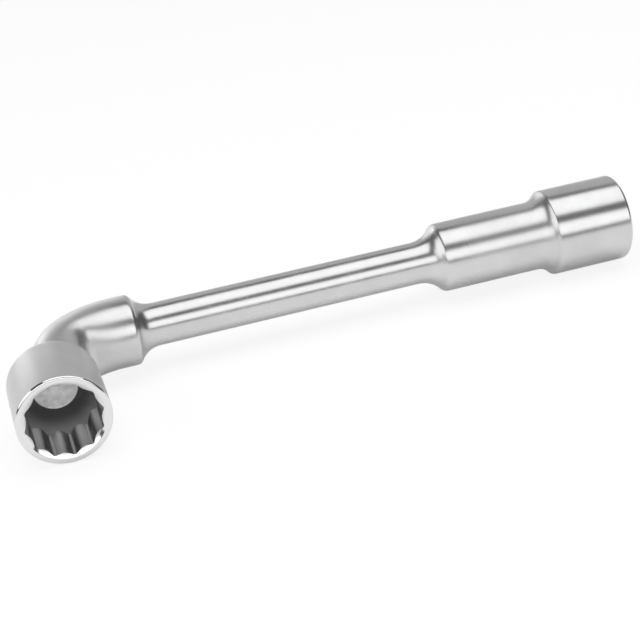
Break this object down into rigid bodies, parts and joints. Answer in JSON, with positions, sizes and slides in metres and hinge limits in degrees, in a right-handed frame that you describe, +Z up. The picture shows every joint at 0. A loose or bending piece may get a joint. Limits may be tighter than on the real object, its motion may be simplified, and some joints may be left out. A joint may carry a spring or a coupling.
{
  "type": "offset double socket wrench",
  "caption": "Offset socket wrench: a round shank with a straight hexagon socket on a bored sleeve, and a bihexagon socket turned through a right angle on an elbow.",
  "frame": {"origin": "below the middle of the wrench's box, on the surface that the wrench lies on", "axes": "+X along the shank towards the straight socket, -Y out of the elbow socket's mouth, +Z up from the surface"},
  "size_m": [0.1956, 0.0586, 0.0266],
  "materials": {
    "satin_chrome": "fine blasted satin chrome over forged steel",
    "buffed_chrome": "satin chrome over steel, buffed along its length"
  },
  "bodies": {
    "root": {"elbow_socket": "satin_chrome", "elbow_bend": "satin_chrome", "elbow_collar": "satin_chrome", "shank": "buffed_chrome", "sleeve": "buffed_chrome", "straight_socket": "buffed_chrome"}
  },
  "joints": []
}
